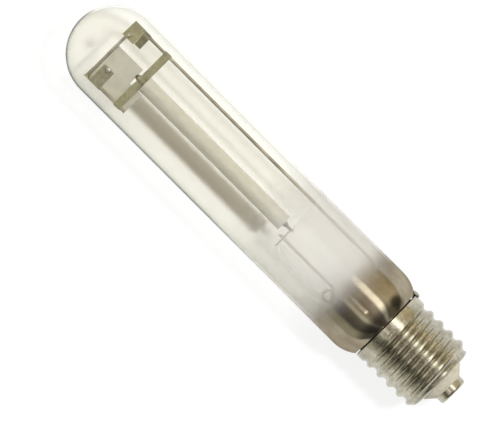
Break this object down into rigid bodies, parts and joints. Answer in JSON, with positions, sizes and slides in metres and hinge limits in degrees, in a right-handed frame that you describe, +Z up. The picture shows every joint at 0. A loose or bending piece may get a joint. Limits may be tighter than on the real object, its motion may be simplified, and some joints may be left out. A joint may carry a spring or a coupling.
{
  "type": "high pressure sodium lamp",
  "caption": "Tubular clear glass discharge lamp with a ceramic arc tube on a wire frame, a metallic film near the base and a large screw cap.",
  "frame": {"origin": "middle of the centre contact's face, on the lamp's axis", "axes": "+X along the lamp's axis towards the dome; the inner frame lies in the XY plane with its long side rod on the -Y side; +Z up, the lamp lying on its side"},
  "size_m": [0.245, 0.046, 0.046],
  "materials": {
    "clear_glass": "clear, with a dark metallic film near the cap",
    "stem_glass": "clear",
    "nickel_rod": "dull nickel",
    "steel_sheet": "heat-tinted",
    "shield_sheet": "thin matt sheet",
    "alumina": "translucent, satin",
    "niobium": "dull",
    "tungsten": "dull",
    "plated_cap": "bright plated",
    "insulator": "matt",
    "solder": "bright soft solder",
    "cement": "matt, granular"
  },
  "bodies": {
    "root": {"outer_bulb": "clear_glass", "stem": "stem_glass", "exhaust_tube": "stem_glass", "support_frame": "nickel_rod", "frame_lead": "nickel_rod", "centre_lead": "nickel_rod", "cross_wire": "nickel_rod", "shell_wire": "nickel_rod", "contact_wire": "nickel_rod", "bulb_spacer_side": "steel_sheet", "bulb_spacer_return": "steel_sheet", "cross_strip": "steel_sheet", "lead_sleeve": "steel_sheet", "getter_ring": "steel_sheet", "getter_strip": "steel_sheet", "end_shield": "shield_sheet", "arc_tube": "alumina", "end_plug_dome": "alumina", "end_plug_cap": "alumina", "niobium_tube_dome": "niobium", "niobium_tube_cap": "niobium", "electrode_dome": "tungsten", "electrode_cap": "tungsten", "cap_shell": "plated_cap", "centre_contact": "plated_cap", "cap_insulator": "insulator", "contact_solder": "solder", "side_solder": "solder", "capping_cement": "cement"}
  },
  "joints": []
}
